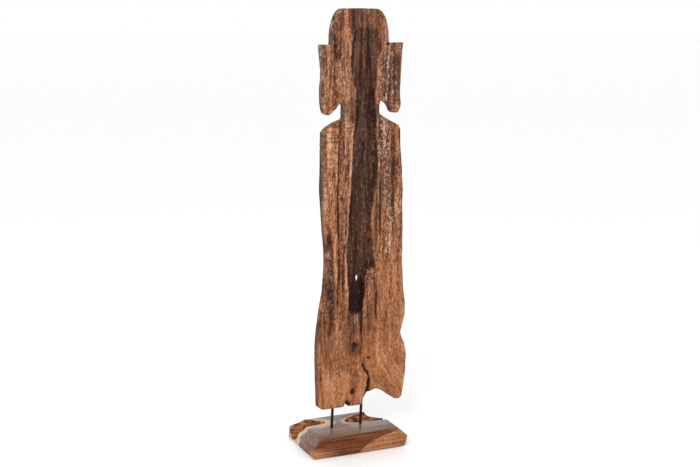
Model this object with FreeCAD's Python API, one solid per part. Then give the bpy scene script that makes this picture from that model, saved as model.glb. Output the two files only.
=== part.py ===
"""Carved ancestor figure: a weathered plank sawn to a silhouette, on two steel pins in a wooden base.

Frame: millimetres, +Z up, the figure's front towards -Y, origin on the floor at the middle of the whole
object's outline. Every X and Y below is measured from the middle of the base, and BASE_X moves all the
pieces together at the end, because the figure reaches further to +X than the base does.

The figure is one plank. Its sides follow the tree, and its head, ears, neck and shoulders are saw cuts. A
hollow left by rotten heartwood runs down its front and breaks through the back in two slits. Two steel pins
hold it up. They are driven into blind holes in the plank's foot and in the base, so nothing moves. The base
is a sawn block, bevelled at its ends and back, with two hollows of natural surface in the corners of its
back. It stands on felt pads.
"""

import FreeCAD
import Part

import os

V = FreeCAD.Vector

# Driving dimensions
TOTAL_HEIGHT = 1500.0
PLANK_THICKNESS = 52.0
PLANK_Y = -16.0  # middle of the plank's thickness, in front of the base's middle
BASE_LENGTH = 345.0
BASE_DEPTH = 243.0
BASE_HEIGHT = 66.0
BEVEL_WIDTH = 28.0
BEVEL_DROP = 28.0
FRONT_BOW = 4.0  # how far the middle of the base's front stands out at its foot
BOW_AT_TOP = 1.0  # and at its top
RIGHT_FLARE = 6.0  # how far the base's right end leans out, from its foot to the bevel
PIN_DIAMETER = 10.0
PIN_HOLE_CLEARANCE = 0.05  # on the radius
PIN_DEPTH_IN_PLANK = 70.0
PIN_DEPTH_IN_BASE = 46.0
PAD_DIAMETER = 26.0
PAD_THICKNESS = 3.0
PAD_INSET = 26.0  # from the base's sides to a pad's middle

# The plank's outline as (x, z), clockwise from the foot of its left side. Natural stretches are curves.
LEFT_SIDE = [
    (-119, 158), (-120, 250), (-120, 335), (-115, 435), (-101, 520), (-89, 625),
    (-89, 730), (-97, 830), (-100, 920), (-99, 1010), (-98, 1090),
]
LEFT_SHOULDER = [(-98, 1090), (-92, 1101), (-75, 1114), (-50, 1127), (-21, 1136)]
LEFT_NECK = [(-21, 1136), (-21, 1184)]
LEFT_NOTCH_TOP = [(-21, 1184), (-33, 1197), (-45, 1185)]  # an arc
LEFT_EAR = [
    (-45, 1185), (-60, 1164), (-76, 1153), (-90, 1162), (-97, 1190), (-97, 1260),
    (-94, 1300), (-98, 1345), (-102, 1384),
]
LEFT_EAR_TOP = [(-102, 1384), (-64, 1384)]
LEFT_HEAD = [(-64, 1384), (-62, 1432), (-53, 1472), (-30, TOTAL_HEIGHT)]
CROWN = [(-30, TOTAL_HEIGHT), (90, TOTAL_HEIGHT)]
RIGHT_HEAD = [(90, TOTAL_HEIGHT), (120, 1481), (133, 1440), (138, 1389)]
RIGHT_EAR_TOP = [(138, 1389), (191, 1389)]
RIGHT_EAR = [
    (191, 1389), (186, 1345), (183, 1295), (181, 1235), (182, 1182), (174, 1163),
    (160, 1157), (147, 1170), (134, 1191),
]
RIGHT_NOTCH_TOP = [(134, 1191), (118, 1203), (104, 1186)]  # an arc
RIGHT_NECK = [(104, 1186), (104, 1158)]
RIGHT_SHOULDER = [(104, 1158), (113, 1149), (140, 1134), (172, 1115), (184, 1094)]
RIGHT_SIDE = [
    (184, 1094), (190, 990), (195, 880), (194, 780), (196, 650), (200, 555), (207, 480),
    (202, 436), (189, 388), (205, 350), (211, 300), (204, 215), (196, 166),
]
RIGHT_TOE = [(196, 166), (188, 152), (172, 148), (150, 160)]
ARCH = [(150, 160), (124, 180), (92, 193), (62, 180), (44, 150), (37, 143)]
FOOT_RIGHT = [(37, 143), (-11, 143)]
FOOT_NICK = [(-11, 143), (-20, 159), (-29, 143)]
FOOT_LEFT = [(-29, 143), (-107, 143), (-119, 158)]

# The hollow down the front, as (z, middle x, half width, depth), with elliptical sections
HOLLOW = [
    (488, 14, 22, 30), (600, 22, 33, 36), (725, 35, 45, 32), (900, 47, 47, 28),
    (1090, 54, 41, 24), (1220, 55, 38, 20), (1330, 47, 48, 14), (1445, 50, 46, 3),
]
# What the rot went right through, as (middle x, middle z, width, height)
SLITS = [(36, 588, 8, 24), (32, 535, 7, 9)]
KNOT_HOLE = (3, 196, 13, 34)  # middle x, middle z, diameter, depth

# Each pin as (x where it meets the base, x where it meets the plank's foot)
PINS = {"pin_left": (-66.5, -63), "pin_right": (42.5, 45.5)}
PIN_Y = PLANK_Y - 3.0  # in the sounder wood, a little in front of the plank's middle

# Natural hollows in the base: (x, y, z) of an ellipsoid's middle, its half sizes, and its turn in degrees
BASE_HOLLOWS = [
    ((195, 45, 75), (200, 57, 56), 8.0),
    ((186, 119, 75), (112, 50, 54), 0.0),
    ((-176, 68, 75), (112, 46, 68), -18.0),
]

# Worked out
PLANK_FRONT = PLANK_Y - PLANK_THICKNESS / 2
FOOT_Z = FOOT_LEFT[0][1]
BASE_TOP = PAD_THICKNESS + BASE_HEIGHT
SHOULDER_Z = BASE_TOP - BEVEL_DROP
BOW_AT_SHOULDER = BOW_AT_TOP + (FRONT_BOW - BOW_AT_TOP) * BEVEL_DROP / BASE_HEIGHT
FIGURE_REACH = max(x for x, z in RIGHT_SIDE)
BASE_X = (BASE_LENGTH / 2 - FIGURE_REACH) / 2


def curve(points, y):
    """A smooth edge through (x, z) points, in the plane at y."""
    spline = Part.BSplineCurve()
    spline.interpolate([V(x, y, z) for x, z in points])
    return spline.toShape()


def arc(points, y):
    """A circular edge through three (x, z) points."""
    return Part.Arc(*[V(x, y, z) for x, z in points]).toShape()


def lines(points, y):
    """Straight edges from point to point."""
    corners = [V(x, y, z) for x, z in points]
    return [Part.makeLine(a, b) for a, b in zip(corners, corners[1:])]


def plank_blank():
    """The whole silhouette, as thick as the plank."""
    y = PLANK_FRONT
    edges = [
        curve(LEFT_SIDE, y),
        curve(LEFT_SHOULDER, y),
        *lines(LEFT_NECK, y),
        arc(LEFT_NOTCH_TOP, y),
        curve(LEFT_EAR, y),
        *lines(LEFT_EAR_TOP, y),
        curve(LEFT_HEAD, y),
        *lines(CROWN, y),
        curve(RIGHT_HEAD, y),
        *lines(RIGHT_EAR_TOP, y),
        curve(RIGHT_EAR, y),
        arc(RIGHT_NOTCH_TOP, y),
        *lines(RIGHT_NECK, y),
        curve(RIGHT_SHOULDER, y),
        curve(RIGHT_SIDE, y),
        curve(RIGHT_TOE, y),
        curve(ARCH, y),
        *lines(FOOT_RIGHT, y),
        *lines(FOOT_NICK, y),
        *lines(FOOT_LEFT, y),
    ]
    return Part.Face(Part.Wire(edges)).extrude(V(0, PLANK_THICKNESS, 0))


def hollow_cutter():
    """The rotten heartwood: ellipses at the plank's front, lofted from the hollow's foot to the crown."""
    sections = []
    for z, x, half_width, depth in HOLLOW:
        longer, shorter = max(half_width, depth), min(half_width, depth)
        ellipse = Part.Ellipse(V(0, 0, 0), longer, shorter).toShape()
        if depth > half_width:
            ellipse.rotate(V(0, 0, 0), V(0, 0, 1), 90)
        ellipse.translate(V(x, PLANK_FRONT, z))
        sections.append(Part.Wire(ellipse))
    return Part.makeLoft(sections, True)


def slit_cutter(x, z, width, height):
    """A slit with round ends, right through the plank."""
    radius = width / 2
    half_straight = height / 2 - radius
    y, through = PLANK_FRONT - 1, PLANK_THICKNESS + 2
    slit = Part.makeBox(width, through, 2 * half_straight, V(x - radius, y, z - half_straight))
    for end_z in (z - half_straight, z + half_straight):
        slit = slit.fuse(Part.makeCylinder(radius, through, V(x, y, end_z), V(0, 1, 0)))
    return slit


def pin_rod(x_base, x_foot, radius):
    """A pin, or the hole that it's driven into: a leaning rod from inside the base to inside the plank."""
    lean = V(x_foot - x_base, 0, FOOT_Z - BASE_TOP).normalize()
    at_base = V(x_base, PIN_Y, BASE_TOP)
    at_foot = V(x_foot, PIN_Y, FOOT_Z)
    start = at_base - lean * PIN_DEPTH_IN_BASE
    length = (at_foot - at_base).Length + PIN_DEPTH_IN_BASE + PIN_DEPTH_IN_PLANK
    return Part.makeCylinder(radius, length, start, lean)


def pin_holes():
    return [pin_rod(a, b, PIN_DIAMETER / 2 + PIN_HOLE_CLEARANCE) for a, b in PINS.values()]


def figure_plank():
    plank = plank_blank().cut(hollow_cutter())
    for slit in SLITS:
        plank = plank.cut(slit_cutter(*slit))
    x, z, diameter, depth = KNOT_HOLE
    plank = plank.cut(Part.makeCylinder(diameter / 2, depth, V(x, PLANK_FRONT - 1, z), V(0, 1, 0)))
    return plank.cut(pin_holes())


def base_outline(z, half_length, back, bow, flare=0.0):
    """A four-sided wire at height z, whose front edge is an arc that stands out by bow."""
    front = FRONT_BOW - BASE_DEPTH / 2
    left, right = -half_length, half_length + flare
    left_front, right_front = V(left, front, z), V(right, front, z)
    left_back, right_back = V(left, back, z), V(right, back, z)
    return Part.Wire([
        Part.Arc(left_front, V(0, front - bow, z), right_front).toShape(),
        Part.makeLine(right_front, right_back),
        Part.makeLine(right_back, left_back),
        Part.makeLine(left_back, left_front),
    ])


def base_block():
    """The sawn block: nearly upright below SHOULDER_Z, bevelled above it at both ends and the back."""
    half, deep = BASE_LENGTH / 2, BASE_DEPTH / 2
    foot = base_outline(PAD_THICKNESS, half, deep, FRONT_BOW)
    shoulder = base_outline(SHOULDER_Z, half, deep, BOW_AT_SHOULDER, RIGHT_FLARE)
    top = base_outline(BASE_TOP, half - BEVEL_WIDTH, deep - BEVEL_WIDTH, BOW_AT_TOP)
    lower = Part.makeLoft([foot, shoulder], True, True)
    upper = Part.makeLoft([shoulder, top], True, True)
    block = lower.fuse(upper)
    for middle, half_sizes, turn in BASE_HOLLOWS:
        block = block.cut(ellipsoid(V(*middle), half_sizes, turn))
    return block.cut(pin_holes())


def ellipsoid(middle, half_sizes, turn):
    """A ball stretched to half_sizes, turned about Z and moved to middle."""
    stretch = FreeCAD.Matrix()
    stretch.scale(*half_sizes)
    ball = Part.makeSphere(1.0).transformGeometry(stretch)
    ball.rotate(V(0, 0, 0), V(0, 0, 1), turn)
    ball.translate(middle)
    return ball


def floor_pad(side, end):
    """One felt disc under a corner of the base; side is -1 or 1 along X, and end along Y."""
    x = side * (BASE_LENGTH / 2 - PAD_INSET)
    y = end * (BASE_DEPTH / 2 - PAD_INSET)
    return Part.makeCylinder(PAD_DIAMETER / 2, PAD_THICKNESS, V(x, y, 0))


def make_parts():
    parts = {"figure_plank": figure_plank(), "base_block": base_block()}
    for name, (x_base, x_foot) in PINS.items():
        parts[name] = pin_rod(x_base, x_foot, PIN_DIAMETER / 2)
    for end, end_name in ((-1, "front"), (1, "back")):
        for side, side_name in ((-1, "left"), (1, "right")):
            parts[f"floor_pad_{end_name}_{side_name}"] = floor_pad(side, end)
    return parts


os.makedirs("parts", exist_ok=True)
for name, shape in make_parts().items():
    shape.translate(V(BASE_X, 0, 0))
    shape.exportStep(f"parts/{name}.step")
    box = shape.BoundBox
    print(
        f"{name}: valid {shape.isValid()}, {len(shape.Solids)} solid, {shape.Volume / 1000:.1f} cm3,",
        f"x {box.XMin:.1f} to {box.XMax:.1f}, y {box.YMin:.1f} to {box.YMax:.1f},",
        f"z {box.ZMin:.1f} to {box.ZMax:.1f}",
    )
print(f"the base's middle is at x {BASE_X:.2f}")
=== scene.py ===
"""A carved ancestor figure: a weathered teak plank sawn to a silhouette, on two steel pins and a base.

The sections follow the object as it is put together: the room, the plank, the pins, the base and its pads.
The wood is laid out in millimetres from the middle of the base, and moved to its place in metres at the end.
"""

import itertools
import math

import bpy
import numpy as np
from mathutils import Matrix, Vector


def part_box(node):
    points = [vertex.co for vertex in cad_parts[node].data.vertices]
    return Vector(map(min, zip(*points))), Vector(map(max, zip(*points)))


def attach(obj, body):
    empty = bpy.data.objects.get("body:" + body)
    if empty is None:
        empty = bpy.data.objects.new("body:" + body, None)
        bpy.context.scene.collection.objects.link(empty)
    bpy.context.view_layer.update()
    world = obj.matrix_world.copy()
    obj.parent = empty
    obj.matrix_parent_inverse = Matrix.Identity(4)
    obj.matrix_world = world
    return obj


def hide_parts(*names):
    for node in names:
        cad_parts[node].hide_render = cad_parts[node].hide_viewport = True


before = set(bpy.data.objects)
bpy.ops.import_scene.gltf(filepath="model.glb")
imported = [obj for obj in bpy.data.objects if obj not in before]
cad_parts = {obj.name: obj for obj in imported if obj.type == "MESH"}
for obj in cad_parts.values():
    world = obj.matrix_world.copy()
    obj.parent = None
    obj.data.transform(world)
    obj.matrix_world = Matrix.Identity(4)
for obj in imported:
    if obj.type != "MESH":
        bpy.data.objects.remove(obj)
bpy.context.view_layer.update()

# The room: a plain pale floor that runs out of sight, soft white light from all round, and large soft lights
# at the front, as in a studio's white cove. The camera stands a little above the figure's waist, to its
# left, and looks slightly down.
BASE_LENGTH = 345.0
BASE_MIDDLE_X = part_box("base_block")[0].x + BASE_LENGTH / 2000
CAMERA_LEFT, CAMERA_FORWARD, CAMERA_HEIGHT = 1.541, 3.570, 1.431
CAMERA_TURN, CAMERA_TILT = math.radians(-23.5), math.radians(10.0)
SENSOR, FOCAL_LENGTH = 36.0, 59.5
CHEST = Vector((0, 0, 0.9))
FLOOR_SIZE, FLOOR_GAP = 400.0, 0.0005  # the floor is a hair below the pads, so that their faces don't mix


def linear(colour):
    """An sRGB hex colour as the linear red, green, blue and alpha that shaders take."""
    parts = [int(colour[i:i + 2], 16) / 255 for i in (1, 3, 5)]
    return (*[c / 12.92 if c <= 0.04045 else ((c + 0.055) / 1.055) ** 2.4 for c in parts], 1.0)


def put(tree, kind, inputs=(), stops=(), out=None, **settings):
    """Adds a shader node: its settings, its inputs as values or links, and a ramp's (place, colour) stops.

    It gives back the output that is named, or else the node's first one in use.
    """
    node = tree.nodes.new("ShaderNode" + kind)
    for name, value in settings.items():
        setattr(node, name, value)
    for name, value in dict(inputs).items():
        if isinstance(value, bpy.types.NodeSocket):
            tree.links.new(value, node.inputs[name])
        else:
            node.inputs[name].default_value = value
    for i, (place, colour) in enumerate(stops):
        stop = node.color_ramp.elements[i] if i < 2 else node.color_ramp.elements.new(place)
        stop.position = place
        stop.color = linear(colour)
    if out:
        return node.outputs[out]
    return next((socket for socket in node.outputs if socket.enabled), None)


def new_material(name):
    """Makes a material with an empty node tree, and gives back both."""
    material = bpy.data.materials.new(name)
    material.use_nodes = True
    material.node_tree.nodes.clear()
    return material, material.node_tree


def deselect_all():
    """Leaves edit mode, if it is on, and deselects every object."""
    if bpy.context.object and bpy.context.object.mode != "OBJECT":
        bpy.ops.object.mode_set(mode="OBJECT")
    bpy.ops.object.select_all(action="DESELECT")


deselect_all()
bpy.ops.mesh.primitive_plane_add(size=FLOOR_SIZE, location=(0, 0, -FLOOR_GAP))
floor = bpy.context.object
floor.name = "floor"
# White floor paint: nearly white and half matt, so that it takes only a faint shadow and no clear reflection
floor_paint, tree = new_material("white floor paint")
shader = put(tree, "BsdfPrincipled", {"Base Color": linear("#fdfdfd"), "Roughness": 0.5})
put(tree, "OutputMaterial", {"Surface": shader})
floor.data.materials.append(floor_paint)

world = bpy.data.worlds.new("white cove")
bpy.context.scene.world = world
world.use_nodes = True
world.node_tree.nodes["Background"].inputs["Color"].default_value = linear("#ffffff")
world.node_tree.nodes["Background"].inputs["Strength"].default_value = 1.0

for name, place, size, power in (
    ("front left softbox", (-2.4, -3.2, 3.0), 1.4, 80.0),
    ("front right fill", (3.2, -2.6, 1.8), 1.8, 10.0),
):
    light = bpy.data.lights.new(name, "AREA")
    light.shape = "SQUARE"
    light.size = size
    light.energy = power
    lamp = bpy.data.objects.new(name, light)
    bpy.context.scene.collection.objects.link(lamp)
    lamp.location = place
    lamp.rotation_euler = (CHEST - lamp.location).to_track_quat("-Z", "Y").to_euler()

camera = bpy.data.objects.new("camera", bpy.data.cameras.new("camera"))
bpy.context.scene.collection.objects.link(camera)
camera.data.sensor_width = SENSOR
camera.data.lens = FOCAL_LENGTH
camera.location = (BASE_MIDDLE_X - CAMERA_LEFT, -CAMERA_FORWARD, CAMERA_HEIGHT)
camera.rotation_euler = (math.pi / 2 - CAMERA_TILT, 0, CAMERA_TURN)
bpy.context.scene.camera = camera
bpy.context.scene.view_settings.view_transform = "Standard"

# The figure: one reclaimed teak plank, sawn to a silhouette of head, long ears, neck, shoulders and body. Its
# two long sides and its foot's arch are the tree's own. Decades of weather have worn the soft grain into
# grooves, and the heartwood has rotted to a dark hollow down the front, which breaks through to the back.
FRONT_Y, BACK_Y = -42.0, 10.0
THICKNESS = BACK_Y - FRONT_Y
CROWN_Z = 1500.0
OUTLINE = [
    # the left side, from the foot up
    [(-118, 149), (-119, 211), (-121, 308), (-120, 372), (-115, 420), (-107, 476), (-100, 517), (-93, 560),
     (-87, 625), (-87, 690), (-93, 760), (-97, 828), (-101, 897), (-99, 964), (-98, 1030), (-97, 1092)],
    [(-97, 1092), (-89, 1101), (-75, 1113), (-50, 1126), (-22, 1136)],  # shoulder
    [(-22, 1136), (-21, 1182)],  # neck
    [(-21, 1182), (-27, 1189), (-37, 1191), (-46, 1184)],  # the notch under the ear
    [(-46, 1184), (-53, 1174), (-64, 1164), (-75, 1155), (-85, 1152), (-94, 1166), (-98, 1190), (-99, 1233),
     (-96, 1262), (-94, 1290), (-96, 1315), (-99, 1345), (-102, 1383)],  # ear
    [(-102, 1383), (-64, 1381)],  # the ear's sawn top
    [(-64, 1381), (-64, 1408), (-62, 1430), (-57, 1452), (-50, 1473), (-41, 1488), (-28, 1499)],
    [(-28, 1499), (30, CROWN_Z), (90, 1499)],  # crown
    [(90, 1499), (104, 1496), (115, 1487), (126, 1467), (133, 1440), (137, 1410), (138, 1387)],
    [(138, 1387), (191, 1389)],
    [(191, 1389), (187, 1350), (184, 1313), (182, 1263), (181, 1213), (184, 1182), (178, 1164), (169, 1155),
     (160, 1154), (152, 1162), (146, 1176), (136, 1188), (124, 1195)],  # the other ear
    [(124, 1195), (110, 1197), (104, 1187)],
    [(104, 1187), (103, 1154)],
    [(103, 1154), (113, 1147), (138, 1132), (171, 1115), (180, 1106), (184, 1092)],
    # the right side, down to the toe
    [(184, 1092), (186, 1059), (187, 1024), (190, 989), (192, 945), (195, 887), (194, 840), (197, 783),
     (196, 710), (195, 643), (198, 571), (203, 528), (207, 490), (206, 448), (200, 430), (195, 410),
     (190, 391), (191, 378), (197, 363), (204, 349), (209, 325), (211, 300), (210, 251), (206, 224),
     (202, 196), (197, 167), (193, 154)],
    [(193, 154), (184, 148), (172, 147), (160, 152)],
    # the arch between the toe and the foot
    [(160, 152), (143, 164), (123, 179), (107, 189), (92, 193), (73, 188), (60, 179), (54, 170), (47, 157),
     (43, 149), (37, 143)],
    [(37, 143), (-11, 143)],
    [(-11, 143), (-16, 151), (-20, 160), (-25, 152), (-28, 143)],  # a chip out of the foot
    [(-28, 143), (-108, 143)],
    [(-108, 143), (-114, 145), (-118, 149)],
]
OUTLINE_STEP = 4.0
SLITS = [(36, 588, 8, 24), (32, 535, 7, 9)]  # middle x and z, width and height
KNOT_HOLE_X, KNOT_HOLE_Z, KNOT_HOLE_WIDTH, KNOT_HOLE_DEPTH = 4, 195, 15, 34
VOXEL, VOXEL_STRETCH = 2.12, 2.5  # the mesh is finer across the grain than along it


def smooth_line(points, step):
    """Points every step along a smooth line through the given ones."""
    p = np.array(points, float)
    if len(p) == 2:
        return p
    slope = np.gradient(p, axis=0)
    line = []
    for a, b, slope_a, slope_b in zip(p, p[1:], slope, slope[1:]):
        t = np.linspace(0, 1, max(2, round(np.linalg.norm(b - a) / step)), endpoint=False)[:, None]
        line.append(
            (2 * t**3 - 3 * t**2 + 1) * a + (t**3 - 2 * t**2 + t) * slope_a
            + (3 * t**2 - 2 * t**3) * b + (t**3 - t**2) * slope_b
        )
    return np.vstack(line + [p[-1:]])


def cut_away(piece, cutter):
    """Takes the cutter's shape out of a piece, and removes the cutter."""
    deselect_all()
    bpy.context.view_layer.objects.active = piece
    piece.select_set(True)
    cut = piece.modifiers.new("cut", "BOOLEAN")
    cut.operation = "DIFFERENCE"
    cut.solver = "EXACT"
    cut.object = cutter
    bpy.ops.object.modifier_apply(modifier=cut.name)
    bpy.data.objects.remove(cutter)


silhouette = [tuple(point) for stretch in OUTLINE for point in smooth_line(stretch, OUTLINE_STEP)[:-1]]
board = bpy.data.meshes.new("figure_wood")
board.from_pydata([(x, FRONT_Y, z) for x, z in silhouette], [], [range(len(silhouette))])
figure = bpy.data.objects.new("figure_wood", board)
bpy.context.scene.collection.objects.link(figure)
deselect_all()
bpy.context.view_layer.objects.active = figure
figure.select_set(True)
bpy.ops.object.mode_set(mode="EDIT")
bpy.ops.mesh.select_all(action="SELECT")
bpy.ops.mesh.extrude_region_move(TRANSFORM_OT_translate={"value": (0, THICKNESS, 0)})
bpy.ops.mesh.select_all(action="SELECT")
bpy.ops.mesh.normals_make_consistent(inside=False)
bpy.ops.object.mode_set(mode="OBJECT")

for x, z, width, height in SLITS:
    deselect_all()
    bpy.ops.mesh.primitive_cylinder_add(
        vertices=24, radius=width / 2, depth=2 * THICKNESS, location=(x, 0, z), rotation=(math.pi / 2, 0, 0)
    )
    slit = bpy.context.object
    slit.scale = (1, height / width, 1)
    cut_away(figure, slit)
deselect_all()
bpy.ops.mesh.primitive_cone_add(
    vertices=16, radius1=KNOT_HOLE_WIDTH / 2, radius2=KNOT_HOLE_WIDTH / 4, depth=2 * KNOT_HOLE_DEPTH,
    location=(KNOT_HOLE_X, FRONT_Y, KNOT_HOLE_Z), rotation=(-math.pi / 2, 0, 0.2),
)
cut_away(figure, bpy.context.object)

squeeze = Matrix.Diagonal((1, 1, 1 / VOXEL_STRETCH, 1))
board = figure.data
board.transform(squeeze)
deselect_all()
bpy.context.view_layer.objects.active = figure
figure.select_set(True)
remesh = figure.modifiers.new("voxels", "REMESH")
remesh.mode = "VOXEL"
remesh.voxel_size = VOXEL
bpy.ops.object.modifier_apply(modifier=remesh.name)
board = figure.data
board.transform(squeeze.inverted())


def read_points(mesh, what="co"):
    """The mesh's vertex places, or their normals, as columns x, y, z."""
    values = np.zeros(len(mesh.vertices) * 3)
    mesh.vertices.foreach_get(what, values)
    return values.reshape(-1, 3).T


def noise(x, y, z, cells, seed):
    """Smooth random values from -1 to 1, in cells of the given sizes in millimetres."""
    place = np.stack([x / cells[0], y / cells[1], z / cells[2]])
    low = np.floor(place).astype(np.int64)
    share = place - low
    share = share * share * (3 - 2 * share)
    total = np.zeros(place.shape[1])
    for corner in itertools.product((0, 1), repeat=3):
        key = low + np.array(corner)[:, None]
        mixed = key[0] * 73856093 ^ key[1] * 19349663 ^ key[2] * 83492791 ^ seed * 2654435761
        mixed = (mixed ^ (mixed >> 13)) * 1274126177 & 0xFFFFFFFF
        value = ((mixed ^ (mixed >> 16)) & 0xFFFF) / 32767.5 - 1
        weight = np.prod([share[i] if corner[i] else 1 - share[i] for i in range(3)], axis=0)
        total += value * weight
    return total


def rise(value, low, high):
    """0 below low, 1 above high, and smooth between them. With low above high, it falls instead."""
    t = np.clip((value - low) / (high - low), 0, 1)
    return t * t * (3 - 2 * t)


def along(z, line):
    """At each height z, the x of a line given as (x, z) points."""
    line = sorted(line, key=lambda point: point[1])
    return np.interp(z, [point[1] for point in line], [point[0] for point in line])


def stroke(x, z, line, half_width, fade=14.0):
    """1 on a line of (x, z) points that runs along the grain, falling to 0 at its sides and past its ends."""
    ends = [point[1] for point in line]
    beside = np.exp(-((x - along(z, line)) / half_width) ** 2)
    return beside * rise(z, min(ends) - fade, min(ends) + fade) * rise(z, max(ends) + fade, max(ends) - fade)


def spot(x, z, middle, half_sizes):
    """1 inside an oval, falling to 0 round it."""
    away = np.hypot((x - middle[0]) / half_sizes[0], (z - middle[1]) / half_sizes[1])
    return rise(away, 1.3, 0.7)


def painted(x, z, patches):
    """The sum of a table's lines along the grain and ovals, each by its strength."""
    return sum(
        strength * (stroke if isinstance(where, list) else spot)(x, z, where, *sizes)
        for strength, where, *sizes in patches
    )


# The rotten hollow's two rims, as (x, z) points, and its depth below the front, as (depth, z) points
HOLLOW_LEFT = [
    (24, 1450), (12, 1420), (3, 1391), (-1, 1338), (1, 1291), (9, 1258), (17, 1238), (18, 1191), (17, 1143),
    (10, 1083), (8, 1033), (4, 978), (1, 922), (-2, 866), (-9, 809), (-10, 752), (-15, 696), (-16, 639),
    (-12, 581), (-9, 552), (-10, 495), (-6, 470),
]
HOLLOW_RIGHT = [
    (90, 1450), (104, 1420), (110, 1397), (108, 1367), (95, 1333), (94, 1290), (90, 1240), (84, 1206),
    (84, 1168), (90, 1127), (93, 1029), (97, 1001), (94, 945), (90, 917), (84, 890), (78, 847), (72, 800),
    (73, 747), (78, 689), (82, 660), (87, 640), (80, 627), (56, 616), (50, 600), (48, 533), (40, 490),
    (30, 470),
]
HOLLOW_DEPTH = [(0, 462), (27, 484), (33, 520), (35, 600), (31, 700), (27, 900), (25, 1100), (20, 1230),
                (14, 1340), (8, 1410), (0, 1452)]
# Grooves where the soft grain has gone: (x, z) points, half width and depth
GROOVES = [
    ([(-60, 1378), (-58, 1259), (-54, 1200)], 2.2, 2.5),
    ([(-39, 1136), (-42, 1068), (-45, 1010), (-45, 960), (-49, 900), (-48, 790), (-44, 698), (-46, 613),
      (-51, 542), (-50, 456)], 2.8, 5.0),
    ([(-26, 1085), (-26, 1045), (-25, 1003)], 2.2, 8.0),
    ([(-99, 1339), (-98, 1266), (-97, 1205)], 3.0, 4.0),
    ([(-80, 800), (-78, 700), (-75, 644), (-72, 587), (-71, 501), (-74, 440), (-82, 400)], 8.0, 4.5),
    ([(108, 925), (108, 860), (107, 802), (109, 735)], 2.6, 8.0),
    ([(115, 925), (118, 870)], 2.4, 5.0),
    ([(95, 540), (93, 500), (91, 450)], 2.6, 7.0),
    ([(39, 482), (39, 440), (38, 398)], 2.6, 6.0),
    ([(128, 1363), (125, 1300), (127, 1240), (120, 1205)], 5.0, 3.5),
    ([(86, 1168), (88, 1120), (88, 1050)], 3.5, 3.0),
    ([(-30, 1330), (-34, 1250), (-30, 1180)], 2.4, 3.0),
    ([(-38, 1470), (-36, 1400), (-40, 1330)], 2.6, 3.0),
    ([(-14, 850), (-17, 800), (-26, 700), (-30, 620), (-32, 566)], 2.4, 4.0),
    ([(160, 1350), (158, 1260), (162, 1180)], 2.6, 2.5),
    ([(150, 1080), (148, 1000), (152, 900), (158, 800)], 2.6, 2.5),
    ([(-112, 460), (-112, 400), (-108, 350), (-96, 300)], 2.4, 2.6),
    ([(-98, 470), (-101, 410), (-98, 350), (-86, 300), (-76, 262)], 2.2, 2.4),
    ([(-84, 400), (-88, 350), (-80, 310), (-66, 268)], 2.2, 2.2),
    ([(-62, 440), (-70, 380), (-74, 330)], 2.2, 2.2),
    ([(10, 420), (-4, 388), (-2, 350), (12, 320)], 2.2, 2.0),
    ([(150, 262), (172, 222), (186, 192)], 2.2, 1.8),
    ([(134, 250), (158, 212), (172, 182)], 2.0, 1.8),
    ([(118, 238), (140, 206), (156, 182)], 2.0, 1.8),
]
# Hard ridges that stand higher than the wood beside them: (x, z) points and half width
RIDGES = [
    ([(-20, 1492), (-15, 1456), (-11, 1414), (-7, 1374), (-6, 1345)], 8.0),
    ([(-14, 1311), (-19, 1275), (-24, 1235), (-28, 1192), (-31, 1150), (-33, 1100)], 4.5),
    ([(8, 1245), (11, 1181), (9, 1129), (5, 1088), (1, 1033), (-3, 978), (-7, 922), (-10, 853)], 3.6),
    ([(-16, 823), (-18, 759), (-25, 668), (-20, 611), (-20, 560)], 5.0),
    ([(-68, 1108), (-72, 1036), (-72, 967), (-68, 898), (-62, 814), (-60, 728), (-58, 642), (-58, 571)], 9.0),
    ([(103, 1486), (118, 1473), (124, 1423), (122, 1373), (121, 1340)], 4.0),
    ([(111, 1395), (111, 1345)], 2.5),
    ([(88, 900), (84, 840), (80, 790), (82, 735)], 3.5),
]
# Knots and holes that the grain flows round: (x, z) and reach
KNOTS = [((12, 358), 24), ((63, 311), 15), ((97, 212), 14), ((6, 200), 18), ((14, 240), 20), ((170, 440), 18)]
TOE_SWEEP = 95.0  # how far the grain above the toe has swung to the right by the time it reaches the floor
# A crack runs down to the arch, and the lip of wood on its left stands proud of a gap, which painted shade
# darkens
CRACK = [(44, 288), (49, 278), (54, 265), (63, 256), (67, 244), (66, 230), (62, 221)]
CRACK_WIDTH, CRACK_DEPTH = 3.4, 26.0
LIP_EDGE = [(66, 230), (62, 221), (57, 203), (52, 184), (47, 166), (43, 148)]
LIP_TOP, LIP_GAP_DEPTH = 232, 9.0
# Small marks, each as its middle (x, z) and half sizes
NICK = (-14, 152), (9, 9)  # above the chip in the foot
BORED_HOLE = (65, 309), (6.5, 3.0)
KNOT = (11, 357), (11, 11)
KNOT_STAIN = (15, 346), (17, 26)
OVAL_KNOT, OVAL_KNOT_CORE = ((17, 233), (15, 29)), ((17, 233), (11, 23))
KERFS = ((-56, 1377), (9, 4)), ((133, 1384), (8, 4))  # where the saw ran on past the tops of the ears
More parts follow.
